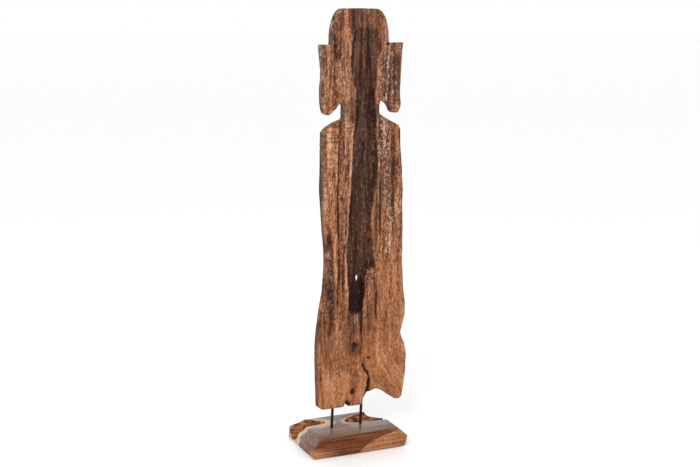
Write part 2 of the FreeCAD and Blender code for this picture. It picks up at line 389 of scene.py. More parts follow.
# In the tables from here on, a row is a strength, then either a line along the grain with its half width and
# sometimes its fade, or an oval's middle and half sizes. In this first one, the strength is a depth.
DENTS = [(7.0, (70, 582), (16, 30)), (3.0, (15, 236), (12, 25))]
PITTED = [
    (0.9, [(122, 1137), (116, 1090), (118, 1030), (116, 985)], 21),
    (0.7, [(132, 1010), (135, 957), (130, 915), (140, 858), (147, 790), (140, 728), (134, 661)], 16),
    (0.7, [(132, 1365), (132, 1300), (138, 1250), (144, 1200)], 30),
    (1.0, (68, 580), (18, 36)),
    (0.5, [(-84, 700), (-72, 587), (-69, 470)], 10),
    (0.2, (13, 355), (20, 26)),
]
FRESH = [
    (0.5, [(-82, 1370), (-82, 1200)], 16),
    (0.4, (-45, 1320), (24, 110)),
    (0.6, [(-25, 455), (-45, 405), (-57, 380), (-76, 320)], 9),
    (0.9, [(35, 288), (45, 265), (56, 244), (57, 228), (50, 205), (43, 185), (38, 165)], 5),
    (0.4, [(-98, 430), (-104, 320)], 9),
    (-0.6, [(96, 960), (90, 840), (86, 735)], 13),
    (-0.5, (120, 1440), (24, 60)),
    (-0.4, (0, 1165), (24, 50)),
]
# The rotten streaks, with painted shade down the groove at x 39
ROT_AND_SHADE = [
    (0.25, [(6, 1500), (3, 1400)], 9),
    (0.9, [(39, 486), (39, 440), (38, 398)], 4),
    (0.6, [(4, 480), (10, 430), (8, 390)], 6),
    (-0.9, (5, 369), (7, 4.5)),
]
SILVER = [
    (0.5, (72, 572), (12, 20)),
    (0.5, [(-16, 823), (-18, 759), (-25, 668), (-20, 600)], 7),
    (0.5, (17, 233), (12, 25)),
    (0.9, (4, 371), (5, 4)),
    (0.2, [(140, 1380), (145, 1300), (150, 1200)], 26),
    (0.55, [(-84, 700), (-72, 587), (-69, 470)], 8),
]
EMBER = [
    (0.45, (68, 590), (17, 30)),
    (0.6, [(92, 470), (60, 420), (50, 350)], 22),
    (0.45, [(110, 900), (108, 800), (112, 740)], 10),
    (0.7, (92, 1200), (12, 14)),
    (0.15, [(124, 1470), (124, 1340)], 9),
    (0.6, (-82, 1180), (16, 22)),
    (0.6, [(10, 425), (10, 390)], 14),
]
DUSK = [
    (1.0, [(-80, 760), (-76, 640), (-72, 540), (-74, 440)], 12, 60),
    (0.7, [(-5, 470), (-8, 400), (0, 330)], 26),
    (0.6, [(70, 520), (60, 400)], 22),
    (0.45, [(-108, 450), (-103, 360), (-94, 280)], 24, 60),
    (0.5, (17, 233), (14, 28)),
    (0.5, (68, 590), (17, 30)),
    (0.45, (120, 880), (22, 80)),
    (0.85, [(98, 960), (97, 900), (96, 840), (93, 780), (88, 720), (82, 670)], 13, 30),
    (0.65, (0, 1165), (24, 46)),
    (0.3, (16, 440), (24, 46)),
    (0.4, (120, 1440), (22, 50)),
]
HOLLOW_FOOT, HOLLOW_TOP = 462, 1452
BACK_HOLLOW = [(14, 660), (18, 600), (14, 540), (10, 500)]  # the dip round the slits at the back
BACK_ROT = [(14, 680), (18, 600), (12, 500)]
BACK_HOLLOW_DEPTH = 6.0
EDGE_WEAR = 7.0  # radius of the worn natural edges
LEFT_EDGE, RIGHT_EDGE = OUTLINE[0], OUTLINE[14]
SURFACE_DEPTH = 4.0  # how far the surface lies below the front plane, before its relief

x, y, z = read_points(board)
nx, ny, nz = read_points(board, "normal")
toward_front = np.clip((BACK_Y - y) / THICKNESS, 0, 1)
on_front, on_back = rise(-ny, 0.5, 0.8), rise(ny, 0.5, 0.8)
on_side = rise(np.abs(nx), 0.6, 0.9)
on_end = rise(np.abs(nz), 0.6, 0.9)

# The grain: how far across it and along it each point lies, bent round the knots and down into the toe
across = x + 5 * noise(x, y, z, (70, 400, 190), 1) + 2.4 * noise(x, y, z, (22, 400, 70), 2)
across = across + 1.7 * noise(x, y, z, (11, 40, 26), 24)
across = across - TOE_SWEEP * rise(z, 350, 130) * rise(x, -10, 190)
for (knot_x, knot_z), reach in KNOTS:
    nearness = np.exp(-((x - knot_x) ** 2 + ((z - knot_z) * 0.7) ** 2) / reach**2)
    across = across - 0.75 * (x - knot_x) * nearness

# The rotten hollow: its ragged rims, its depth, and the ridges of harder grain on its floor
left_rim, right_rim = along(z, HOLLOW_LEFT), along(z, HOLLOW_RIGHT)
left_rim = left_rim + 1.8 * noise(z, z, z, (9, 9, 9), 3)
right_rim = right_rim + 2.5 * noise(z, z, z, (11, 11, 11), 4)
hollow_depth = along(z, HOLLOW_DEPTH)
in_hollow = rise(x - left_rim, -1.0, 6.0) * rise(right_rim - x, -3.0, 5.0)
in_hollow = in_hollow * rise(z, HOLLOW_FOOT, HOLLOW_FOOT + 24) * rise(z, HOLLOW_TOP, HOLLOW_TOP - 27)
rotten = rise(x - left_rim, -1.0, 4.0) * rise(right_rim - x, -6.0, 1.0)
rotten = rotten * rise(z, HOLLOW_FOOT, HOLLOW_FOOT + 20) * rise(z, HOLLOW_TOP, HOLLOW_TOP - 62)
hollow_ridges = noise(across, z, z, (9, 900, 220), 5) + 0.6 * noise(across, z, z, (4.2, 900, 60), 6)
hollow = in_hollow * (hollow_depth + 4.0 * hollow_ridges * rise(hollow_depth, 4, 12))

# The foot and the lower right are worn smoother than the rest
smooth = np.maximum(rise(z, 480, 330), rise(x, 84, 112) * rise(z, 690, 600))
calm = 1 - 0.55 * smooth
swell = noise(across, z, z, (38, 900, 420), 7)
waves = noise(across, z, z, (13, 900, 240), 8)
streaks = noise(across, z, z, (6.5, 900, 90), 9)
fibres = noise(across, z, z, (4.0, 900, 30), 10)
flakes = noise(across, z, z, (4.6, 900, 11), 25)
furrows = (1 - np.abs(noise(across, z, z, (17, 900, 210), 11))) ** 7
relief = 1.3 * swell + 1.0 * waves + 1.0 * streaks + 1.2 * fibres + 1.1 * flakes - 1.8 * furrows
grooved = sum(depth * stroke(x, z, line, width) for line, width, depth in GROOVES)
ridged = sum(stroke(x, z, line, width) for line, width in RIDGES)
crack = np.min([np.hypot(x - a, z - b) for a, b in smooth_line(CRACK, 2.0)], axis=0)
crack = crack + 1.4 * noise(x, z, z, (7, 6, 6), 30)
cracked = rise(crack, CRACK_WIDTH + 1.5, CRACK_WIDTH - 1.0)

# The pitted stretches, where the weather and beetles have eaten into the wood, and single pits elsewhere
pitted = np.clip(painted(x, z, PITTED), 0, 1)
pits = rise(noise(x, y, z, (5.5, 6, 8), 12) + 0.6 * noise(x, y, z, (3, 4, 5), 13), 0.15, 0.75)
scattered = rise(noise(x, y, z, (5, 6, 9), 14), 0.66, 0.9) * rise(noise(x, y, z, (60, 60, 90), 15), -0.1, 0.5)

# The marks: a fresh face under the left shoulder with the saw's marks across it, the gap beside the lip, the
# nick, the bored hole, the kerfs and the knots
upper_left = rise(x, -92, -84) * rise(x, -44, -52) * rise(z, 850, 960) * rise(z, 1130, 1110)
saw_marks = rise(noise(z, z, z, (6, 6, 6), 26) + 0.25 * noise(x, x, x, (20, 20, 20), 27), 0.1, 0.5)
saw_marks = saw_marks * upper_left
past_lip = x - along(z, LIP_EDGE)
widening = 0.2 * np.maximum(LIP_TOP - z, 0)
lip_gap = rise(past_lip, -1.5, 1.5) * rise(past_lip - widening, 11, 4) * rise(z, LIP_TOP + 6, LIP_TOP - 4)
nick = spot(x + 5 * fibres, z + 6 * flakes, *NICK)
bored_hole = spot(x, z, *BORED_HOLE)
kerfs = sum(spot(x, z, *kerf) for kerf in KERFS)
knot = spot(x + 8 * fibres, z + 9 * flakes, *KNOT)
knot_stain = spot(x + 12 * streaks + 9 * fibres, z + 14 * flakes, *KNOT_STAIN)
oval_rim = spot(x, z, *OVAL_KNOT) - spot(x, z, *OVAL_KNOT_CORE)

lowered = (
    SURFACE_DEPTH - relief * calm * (1 - 0.7 * in_hollow) - 2.2 * np.clip(ridged, 0, 1) + grooved
    + 3.0 * pits * pitted + 1.6 * scattered * calm + 1.1 * saw_marks + painted(x, z, DENTS)
    + LIP_GAP_DEPTH * lip_gap + 7.0 * nick + 4.0 * kerfs + 6.0 * knot + 5.0 * bored_hole
)
lowered = np.clip(lowered, 0, None) + hollow + CRACK_DEPTH * cracked * (1 - in_hollow)


def worn_edge(distance, radius):
    """How far a worn round edge falls back, at a distance in from the side."""
    inside = np.clip(1 - distance / radius, 0, 1)
    return radius * (1 - np.sqrt(np.clip(1 - inside**2, 0, 1)))


# The natural edges are worn round, and the back has a relief of its own
wear = EDGE_WEAR * (1 + 0.5 * noise(z, z, z, (60, 60, 60), 16))
natural = rise(z, 150, 175) * rise(z, 1095, 1075)
edges = (worn_edge(x - along(z, LEFT_EDGE), wear) + worn_edge(along(z, RIGHT_EDGE) - x, wear)) * natural
back_relief = (
    1.2 * noise(across, z, z, (30, 900, 400), 17) + 1.0 * noise(across, z, z, (8, 900, 180), 18)
    + 0.6 * noise(across, z, z, (3.4, 900, 70), 19)
    - 1.8 * (1 - np.abs(noise(across, z, z, (21, 900, 360), 20))) ** 7
)
back_hollow = BACK_HOLLOW_DEPTH * stroke(x, z, BACK_HOLLOW, 12, 30)
front = FRONT_Y + np.minimum(lowered + edges, THICKNESS - 10)
back = BACK_Y - np.clip(2.5 - back_relief + back_hollow + 0.3 * edges, 0.2, 14)
y = back + (front - back) * toward_front

# The two sides and the arch are a tree's surface, and the sawn cuts are nearly flat
side_relief = 1.3 * noise(x, y, z, (9, 9, 120), 21) + 0.7 * noise(x, y, z, (5, 5, 40), 22)
side_relief = side_relief + 1.3 * noise(x, y, z, (8, 14, 7), 33)
sawn = rise(z, 1080, 1096) + rise(z, 147, 144)
push = np.minimum(side_relief - 0.4, 0) * (1 - 0.75 * np.clip(sawn, 0, 1)) * (1 - on_front) * (1 - on_back)
x = x + nx * push
z = z + nz * push
z = np.minimum(z, CROWN_Z)

board.vertices.foreach_set("co", np.stack([x, y, z]).T.ravel())
board.update()

# What the wood looks like at each point, as masks for the material. Fresh wood is tan, dusk is dark brown and
# ember is orange. Rot is the dark rotten wood, and it also paints shade into the crack, the holes, the nick,
# the kerfs and the gap beside the lip. The deep places are darkened by painted shade, with some real stain at
# the knots.
low_right = rise(x + 0.3 * (700 - z), 110, 190) * rise(z, 760, 600)
left_edge = rise(x, -70, -100) * rise(z, 820, 700)
toe = spot(x, z, (175, 235), (60, 90))
toe_facet = rise(x - along(z, [(160, 275), (144, 250), (160, 205), (180, 185)]), -2, 3)
toe_facet = toe_facet * rise(z, 188, 200) * rise(z, 275, 262)
foot = rise(z, 420, 250)
crown_edge = rise(x, -4, 2) * rise(x, 102, 94) * rise(z, 1385, 1425)
neck_right = rise(x, 78, 84) * rise(x, 106, 100) * rise(z, 1120, 1150) * rise(z, 1196, 1180)
right_ear = rise(x, 100, 122) * rise(z, 1195, 1215) * rise(z, 1380, 1340)
# Painted shade inside the knot hole
knot_hole_shade = rise(np.hypot(x - KNOT_HOLE_X, z - KNOT_HOLE_Z), 11.0, 7.5)
hollow_streaks = rise(noise(across, z, z, (5, 900, 110), 28), 0.05, 0.7) * rise(z, 620, 760)
sawn_head = rise(z, 1094, 1106)
facing = rise(toward_front, 0.55, 0.85)
masks = {}
# The grooves and the saw marks' cuts take less of the tan, as painted shade in them
masks["fresh"] = (
    painted(x, z, FRESH) + 0.7 * np.clip(ridged, 0, 1) + 0.8 * upper_left + 0.42 * low_right * (1 - 0.5 * toe)
    + 0.3 * foot + 0.35 * spot(x, z, (-40, 210), (60, 70)) * foot + 0.3 * left_edge + 0.9 * toe_facet
    - 0.6 * np.clip(grooved / 5, 0, 1) - 0.5 * saw_marks
)
# Besides the rotten hollow, this paints shade into the crack, the gap beside the lip, the nick, the kerfs,
# the bored hole and the knot hole
masks["rot"] = (
    painted(x, z, ROT_AND_SHADE) + rotten * (1 - 0.36 * rise(z, 1160, 1290)) * (1 - 0.32 * hollow_streaks)
    + 0.5 * crown_edge + 0.6 * neck_right + 0.8 * knot + 0.5 * knot_stain
    + 0.9 * lip_gap + 0.8 * nick + kerfs + bored_hole + cracked + knot_hole_shade
)
masks["silver"] = (
    painted(x, z, SILVER) + 0.75 * pitted * rise(z, 640, 700) * (1 - 0.35 * rise(z, 1160, 1200))
    + 0.6 * stroke(x + 4 * fibres, z, [(16, 474), (16, 432)], 15) + 0.3 * toe_facet
)
masks["ember"] = (
    painted(x, z, EMBER) + 0.5 * hollow_streaks * rotten
    + (0.4 + 0.2 * smooth) * rise(noise(across, z, z, (22, 900, 160), 23), 0.1, 0.7)
)
masks["dusk"] = (
    painted(x, z, DUSK) + 0.66 * right_ear + 0.3 * rise(z, 1488, 1497) + 0.45 * hollow_streaks * rotten
    + 0.45 * smooth * rise(noise(across, z, z, (16, 900, 130), 29), 0.15, 0.7)
)
for name, values in masks.items():
    masks[name] = np.clip(values, 0, 1) * facing
# Painted shade: low relief, the grooves, pits, nick, kerfs, holes, the gap beside the lip, the knot's recess
# and the hollow's deep lower floor are darkened where shade would fall, and the ridges on the hollow's floor
# are lighter. The knot stain and the oval knot's rim add stain of the wood's own.
cavity = (
    -relief * calm / 3.6 + grooved / 6 + 0.6 * pits * pitted + 0.7 * scattered
    - 0.6 * hollow_ridges * in_hollow + 0.4 * oval_rim + 0.25 * knot_stain + 0.6 * knot
    + 0.8 * (nick + kerfs) + 0.6 * lip_gap + bored_hole + 1.2 * knot_hole_shade
    + 0.8 * rotten * rise(z, 650, 560) * (0.35 + 0.65 * rise(x, 0, 14))
)
# On the back, painted shade darkens the low places of the relief and the sides towards the back
back_cavity = 0.5 - 0.2 * back_relief + 0.25 * on_side * rise(toward_front, 0.45, 0.05)
masks["cavity"] = np.clip(np.where(toward_front > 0.5, 0.5 + 0.5 * cavity, back_cavity), 0, 1)
masks["rot"] = np.maximum(masks["rot"], 0.8 * stroke(x, z, BACK_ROT, 14, 40) * (1 - toward_front))
sawn_faces = 0.95 * sawn_head * np.clip(on_side + on_end, 0, 1) * (1 - on_back)
masks["silver"] = np.maximum(masks["silver"], sawn_faces)
bark_side = on_side * (1 - 0.75 * rise(z, 850, 720) * rise(z, 440, 540)) * (1 - 0.5 * foot)
masks["bark"] = np.clip((bark_side + 0.8 * on_end) * (1 - 0.8 * sawn_head) + 0.6 * on_back, 0, 1)
masks["oiled"] = rise(z, 880, 700)
masks["sawn"] = upper_left * facing
masks["smooth"] = smooth
masks["pitted"] = pitted * facing
for name, values in masks.items():
    board.attributes.new(name, "FLOAT", "POINT").data.foreach_set("value", values.astype(np.float32))
grain = np.stack([across, y, z]).T.ravel() * 0.001
board.attributes.new("grain", "FLOAT_VECTOR", "POINT").data.foreach_set("vector", grain.astype(np.float32))


def settle(piece):
    """Moves a piece from millimetres round the base's middle to its place in metres."""
    piece.data.transform(Matrix.Translation((BASE_MIDDLE_X, 0, 0)) @ Matrix.Scale(0.001, 4))


settle(figure)
deselect_all()
bpy.context.view_layer.objects.active = figure
figure.select_set(True)
bpy.ops.object.shade_smooth()

# Weathered teak: brown wood in fine streaks along the grain, tan where it is worn fresh, dark and dull in
# the rotten hollow, silvery grey where the weather has had it longest. It has no varnish, so it is matt.
TEAK_TONES = {  # the dark streaks, the middle tone and the light streaks of each look of the wood
    "brown": ("#55301a", "#906144", "#c39a7c"),
    "fresh": ("#7f5032", "#b88662", "#d6ab88"),
    "ember": ("#64300f", "#a5653a", "#cc9068"),
    "dusk": ("#3b1f10", "#654028", "#936d55"),
    "silver": ("#573828", "#907260", "#d2bdaf"),
    "bark": ("#3d281b", "#694b38", "#8f6f5a"),
    "rot": ("#24140a", "#4a2e1e", "#775745"),
}
# The looks in the order that they are laid over the brown, and how far each one's border follows the streaks
FRAYED = {"fresh": 1.65, "ember": 1.65, "dusk": 1.65, "silver": 1.65, "bark": 0.0, "rot": 0.9}
teak, tree = new_material("weathered teak")
flow = put(tree, "Attribute", out="Vector", attribute_name="grain")
place = put(tree, "TexCoord", out="Object")
shape = {name: put(tree, "Attribute", out="Fac", attribute_name=name) for name in masks}


def per_cell(*millimetres):
    """The scale of a Mapping node, for a noise of scale 1 to have cells of these sizes along x, y and z."""
    return [1000 / size for size in millimetres]


def streaky(dark, middle, light):
    """The stops of a ramp that runs from the dark streaks to the light ones."""
    return [(0.08, dark), (0.92, light), (0.5, middle)]


# Three patterns make the streaks: broad bands, fine fibres, and specks of half a centimetre
broad = put(tree, "Mapping", {"Vector": flow, "Scale": per_cell(12, 60, 200)})
broad = put(tree, "TexNoise", {"Vector": broad, "Scale": 1.0, "Detail": 3.0, "Roughness": 0.6})
fine = put(tree, "Mapping", {"Vector": flow, "Scale": per_cell(4.6, 30, 13)})
fine = put(tree, "TexNoise", {"Vector": fine, "Scale": 1.0, "Detail": 5.0, "Roughness": 0.7})
speck = put(tree, "Mapping", {"Vector": place, "Scale": per_cell(5, 5, 7)})
speck = put(tree, "TexNoise", {"Vector": speck, "Scale": 1.0, "Detail": 2.0})
streak = put(tree, "Math", {0: broad, 1: 0.3}, operation="MULTIPLY")
streak = put(tree, "Math", {0: fine, 1: 0.45, 2: streak}, operation="MULTIPLY_ADD")
streak = put(tree, "Math", {0: speck, 1: 0.25, 2: streak}, operation="MULTIPLY_ADD")
# The saw left lines across the grain, 4.5 mm apart, and the smooth parts have weaker streaks
saw_lines = put(tree, "Mapping", {"Vector": place, "Scale": per_cell(70, 70, 4.5)})
saw_lines = put(tree, "TexNoise", {"Vector": saw_lines, "Scale": 1.0, "Detail": 1.0})
sawn_share = put(tree, "Math", {0: shape["sawn"], 1: 0.24}, operation="MULTIPLY")
lively = put(tree, "Mix", {0: sawn_share, 2: streak, 3: saw_lines})
lively = put(tree, "MapRange", {"Value": lively, 1: 0.40, 2: 0.60, 3: 0.0, 4: 1.0})
smooth_share = put(tree, "Math", {0: shape["smooth"], 1: 0.38}, operation="MULTIPLY")
lively = put(tree, "Mix", {0: smooth_share, 2: lively, 3: 0.5})

# Each look covers the one before it, and its border follows the streaks
tones = {name: put(tree, "ValToRGB", {"Fac": lively}, streaky(*tone)) for name, tone in TEAK_TONES.items()}
off_middle = put(tree, "Math", {0: streak, 1: 0.5}, operation="SUBTRACT")
colour = tones["brown"]
for name, ragged in FRAYED.items():
    cover = shape[name]
    if ragged:
        cover = put(tree, "Math", {0: off_middle, 1: ragged, 2: cover}, operation="MULTIPLY_ADD")
        cover = put(tree, "MapRange", {"Value": cover, 1: 0.3, 2: 0.7, 3: 0.0, 4: 1.0})
    colour = put(tree, "Mix", {0: cover, 6: colour, 7: tones[name]}, data_type="RGBA")

# Painted shade, with some stain, darkens the deep places, old oil has turned the lower half more golden, and
# pale flecks line the pits
deepening = [(0.3, "#ffffff"), (0.95, "#6b4a38"), (0.6, "#dccabf")]
shade_and_stain_tint = put(tree, "ValToRGB", {"Fac": shape["cavity"]}, deepening)
colour = put(tree, "Mix", {0: 1.0, 6: colour, 7: shade_and_stain_tint}, data_type="RGBA", blend_type="MULTIPLY")
oil = {0: shape["oiled"], 6: colour, 7: linear("#fbf1df")}
colour = put(tree, "Mix", oil, data_type="RGBA", blend_type="MULTIPLY")
flecks = put(tree, "MapRange", {"Value": speck, 1: 0.58, 2: 0.72, 3: 0.0, 4: 0.6})
flecks = put(tree, "Math", {0: flecks, 1: shape["pitted"]}, operation="MULTIPLY")
colour = put(tree, "Mix", {0: flecks, 6: colour, 7: linear("#d9c6b6")}, data_type="RGBA")

height = put(tree, "Math", {0: speck, 1: 0.3}, operation="MULTIPLY")
height = put(tree, "Math", {0: fine, 1: 0.7, 2: height}, operation="MULTIPLY_ADD")
bump = put(tree, "Bump", {"Strength": 0.6, "Distance": 0.0015, "Height": height})
rough = put(tree, "MapRange", {"Value": fine, 1: 0.3, 2: 0.7, 3: 0.62, 4: 0.85})
shader = {"Base Color": colour, "Roughness": rough, "Normal": bump, "Specular IOR Level": 0.25}
put(tree, "OutputMaterial", {"Surface": put(tree, "BsdfPrincipled", shader)})
figure.data.materials.append(teak)
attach(figure, "root")
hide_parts("figure_plank")

# The pins: two mild steel rods, blackened with heat and oil, that stand in blind holes in the plank's foot
# and in the base. Each leans a little, as hand-drilled holes do.
BASE_TOP, FOOT_Z = 69.0, 143.0
PIN_WIDTH, PIN_GAP = 10.0, 0.05  # a rod is thinner than its hole by the gap on each side
PIN_END_GAP = 0.5  # how much shorter a rod is than its place
PINS = {"pin_left": (-66.5, -63.0), "pin_right": (42.5, 45.5)}  # x at the base's top and at the plank's foot

# Blackened steel: a thin black oxide, satin, with browner patches of scale a few millimetres across
steel, tree = new_material("blackened steel")
scale = put(tree, "Mapping", {"Vector": put(tree, "TexCoord", out="Object"), "Scale": per_cell(5, 5, 9)})
scale = put(tree, "TexNoise", {"Vector": scale, "Scale": 1.0, "Detail": 5.0, "Roughness": 0.65})
colour = put(tree, "ValToRGB", {"Fac": scale}, [(0.35, "#181615"), (0.75, "#4e4038"), (0.55, "#2b2826")])
rough = put(tree, "MapRange", {"Value": scale, 1: 0.3, 2: 0.7, 3: 0.32, 4: 0.62})
bump = put(tree, "Bump", {"Strength": 0.5, "Distance": 0.0006, "Height": scale})
shader = {"Base Color": colour, "Metallic": 0.85, "Roughness": rough, "Normal": bump}
put(tree, "OutputMaterial", {"Surface": put(tree, "BsdfPrincipled", shader)})

for name, (x_base, x_foot) in PINS.items():
    low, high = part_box(name)
    lean = math.atan2(x_foot - x_base, FOOT_Z - BASE_TOP)
    length = (high.z - low.z) * 1000 - PIN_WIDTH * math.sin(lean) - PIN_END_GAP
    deselect_all()
    bpy.ops.mesh.primitive_cylinder_add(
        vertices=32, radius=PIN_WIDTH / 2 - PIN_GAP, depth=length, end_fill_type="NGON"
    )
    pin = bpy.context.object
    rod = pin.data
    leaning = Matrix.Rotation(lean, 4, "Y") @ Matrix.Scale(0.001, 4)
    rod.transform(Matrix.Translation((low + high) / 2) @ leaning)
    pin.name = name + "_rod"
    bpy.ops.object.shade_smooth_by_angle(angle=math.radians(40))
    rod.materials.append(steel)
    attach(pin, "root")
    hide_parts(name)

# The base: a thick teak block, planed, bevelled at its ends and back, sanded and lacquered to a satin sheen.
# Two hollows of the tree's own surface are left in its back corners, with a pale band of sapwood round them.
BASE_DEPTH, BASE_HEIGHT, BEVEL, FRONT_BOW = 243.0, 66.0, 28.0, 4.0
BOW_LOSS = 3.0  # how much less the front stands out at its top than at its foot
RIGHT_FLARE, RIGHT_TUCK, RIGHT_DROP = 6.0, 3.0, 4.0  # the right end leans out above and tucks in at its foot
CUTS_ALONG = 12  # the block is divided this often along its length, for the front to bow smoothly
BASE_FOOT = BASE_TOP - BASE_HEIGHT
SANDED_EDGE = 1.3
# Each hollow is an egg: its middle, its half sizes, its turn in degrees, and how far its sapwood reaches
HOLLOWS = [
    ((195, 45, 75), (200, 57, 56), 8, 1.08),
    ((186, 119, 75), (112, 50, 54), 0, 1.06),
    ((-176, 68, 75), (112, 46, 68), -18, 1.36),
]
POINTED, SAGGING = 0.5, 0.3  # how much the left hollow narrows to its tip, and how far its floor lies back
PATCH_START, PATCH_END = -0.004, 0.165  # where the front's pale wood starts and ends, from the base's middle
PATCH_HEIGHT = 0.07
CORNER_MIDDLE, CORNER_SIZE = (-0.178, -0.122, 0.0), (0.09, 0.045, 0.036)  # the warm wood at the left corner

lacquered, lacquered_tree = new_material("lacquered teak")
natural, natural_tree = new_material("natural teak surface")
deselect_all()
bpy.ops.mesh.primitive_cube_add(size=1.0)
base = bpy.context.object
base.data.materials.append(lacquered)
base.data.materials.append(natural)
base.name = "base_wood"
block = base.data
block.transform(Matrix.Diagonal((BASE_LENGTH, BASE_DEPTH, BASE_HEIGHT, 1)))
block.transform(Matrix.Translation((0, 0, (BASE_TOP + BASE_FOOT) / 2)))
bpy.ops.object.mode_set(mode="EDIT")
bpy.ops.mesh.select_mode(type="EDGE")
bpy.ops.mesh.select_all(action="DESELECT")
bpy.ops.object.mode_set(mode="OBJECT")
for edge in block.edges:
    ends = [block.vertices[v].co for v in edge.vertices]
    edge.select = all(end.z > BASE_FOOT + 1 for end in ends) and any(end.y > 0 for end in ends)
bpy.ops.object.mode_set(mode="EDIT")
bpy.ops.mesh.bevel(offset=BEVEL, offset_type="OFFSET", segments=1)
bpy.ops.mesh.select_all(action="SELECT")
for step in range(1, CUTS_ALONG):
    bpy.ops.mesh.bisect(plane_co=(BASE_LENGTH * (step / CUTS_ALONG - 0.5), 0, 0), plane_no=(1, 0, 0))
    bpy.ops.mesh.select_all(action="SELECT")
bpy.ops.object.mode_set(mode="OBJECT")
for vertex in block.vertices:
    if vertex.co.y < -BASE_DEPTH / 2 + 1:
        up = (vertex.co.z - BASE_FOOT) / BASE_HEIGHT
        reach = (FRONT_BOW - BOW_LOSS * up) * (1 - (2 * vertex.co.x / BASE_LENGTH) ** 2)
        vertex.co.y += FRONT_BOW - reach
    if vertex.co.x > BASE_LENGTH / 2 - 1:
        at_foot = vertex.co.z < BASE_FOOT + 1
        vertex.co.x += -RIGHT_TUCK if at_foot else RIGHT_FLARE
        vertex.co.z -= 0 if at_foot else RIGHT_DROP

for number, (middle, half_sizes, turn, sapwood) in enumerate(HOLLOWS):
    deselect_all()
    bpy.ops.mesh.primitive_uv_sphere_add(segments=256, ring_count=128, radius=1.0)
    bark = bpy.context.object
    if middle[0] < 0:
        for vertex in bark.data.vertices:
            vertex.co.y *= 1 - POINTED * max(0, vertex.co.x) ** 2
            vertex.co.y += SAGGING * max(0, -vertex.co.z)
    bark.data.transform(Matrix.Diagonal((*half_sizes, 1)))
    bark.data.transform(Matrix.Translation(middle) @ Matrix.Rotation(math.radians(turn), 4, "Z"))
    x, y, z = read_points(bark.data)
    nx, ny, nz = read_points(bark.data, "normal")
    push = 2.2 * noise(x, y, z, (60, 20, 18), 31 + number) + 0.9 * noise(x, y, z, (24, 9, 8), 41 + number)
    bark.data.vertices.foreach_set("co", np.stack([x + nx * push, y + ny * push, z + nz * push]).T.ravel())
    bark.data.update()
    bark.data.materials.append(lacquered)
    bark.data.materials.append(natural)
    bark.data.polygons.foreach_set("material_index", [1] * len(bark.data.polygons))
    cut_away(base, bark)

deselect_all()
bpy.context.view_layer.objects.active = base
base.select_set(True)
sanded = base.modifiers.new("sanded edges", "BEVEL")
sanded.width = SANDED_EDGE
sanded.segments = 2
sanded.limit_method = "ANGLE"
sanded.angle_limit = math.radians(32)
bpy.ops.object.modifier_apply(modifier=sanded.name)
bpy.ops.object.shade_smooth_by_angle(angle=math.radians(34))
settle(base)

# Lacquered teak: a clear satin lacquer over dark red-brown heartwood. The faces that look up are painted a
# greyer, lighter tone, a painted sheen of the white room in the lacquer. Pale sapwood follows the hollows'
# rims, and warm, lighter wood is at the front's lower corners.
BASE_TONES = {
    "heart": ("#421e05", "#61300b", "#82491c"),
    "painted_sheen": ("#574238", "#745b4d", "#8f7262"),
    "sapwood": ("#a47e63", "#c39f83", "#dbbc9f"),
    "warm": ("#7a4826", "#9d6640", "#bb845c"),
}
tree = lacquered_tree
place = put(tree, "TexCoord", out="Object")
wander = put(tree, "Mapping", {"Vector": place, "Scale": per_cell(70, 40, 40)})
wander = put(tree, "TexNoise", {"Vector": wander, "Scale": 1.0, "Detail": 3.0})
rings = put(tree, "Mapping", {"Vector": place, "Scale": per_cell(150, 11, 8)})
rings = put(tree, "TexNoise", {"Vector": rings, "Scale": 1.0, "Detail": 5.0, "Roughness": 0.6})
pores = put(tree, "Mapping", {"Vector": place, "Scale": per_cell(14, 2.2, 2.2)})
pores = put(tree, "TexNoise", {"Vector": pores, "Scale": 1.0, "Detail": 3.0, "Roughness": 0.7})
grain_lines = put(tree, "Math", {0: rings, 1: 0.55}, operation="MULTIPLY")
grain_lines = put(tree, "Math", {0: pores, 1: 0.45, 2: grain_lines}, operation="MULTIPLY_ADD")
lively = put(tree, "MapRange", {"Value": grain_lines, 1: 0.38, 2: 0.62, 3: 0.0, 4: 1.0})
tones = {name: put(tree, "ValToRGB", {"Fac": lively}, streaky(*tone)) for name, tone in BASE_TONES.items()}
drift = put(tree, "Math", {0: wander, 1: 0.5}, operation="SUBTRACT")
drift = put(tree, "Math", {0: drift, 1: 0.16}, operation="MULTIPLY")

# Painted sheen: the faces that look up take the greyer, lighter tone, as the lacquer's reflection of the
# white room
normal = put(tree, "NewGeometry", out="Normal")
top_sheen = put(tree, "SeparateXYZ", {0: normal}, out="Z")
top_sheen = put(tree, "MapRange", {"Value": top_sheen, 1: 0.3, 2: 0.6, 3: 0.0, 4: 1.0})
colour = put(tree, "Mix", {0: top_sheen, 6: tones["heart"], 7: tones["painted_sheen"]}, data_type="RGBA")

# The sapwood is a band round each hollow: its reach is the distance in shares of the hollow's half sizes
for middle, half_sizes, turn, sapwood in HOLLOWS:
    egg = {"Vector": place, "Location": Vector(middle) / 1000 + Vector((BASE_MIDDLE_X, 0, 0)),
           "Rotation": (0, 0, math.radians(turn)), "Scale": Vector(half_sizes) / 1000}
    reach = put(tree, "Mapping", egg, vector_type="TEXTURE")
    reach = put(tree, "VectorMath", {0: reach}, operation="LENGTH")
    reach = put(tree, "Math", {0: reach, 1: drift}, operation="ADD")
    rim = put(tree, "MapRange", {"Value": reach, 1: sapwood - 0.04, 2: sapwood + 0.03, 3: 1.0, 4: 0.0})
    colour = put(tree, "Mix", {0: rim, 6: colour, 7: tones["sapwood"]}, data_type="RGBA")

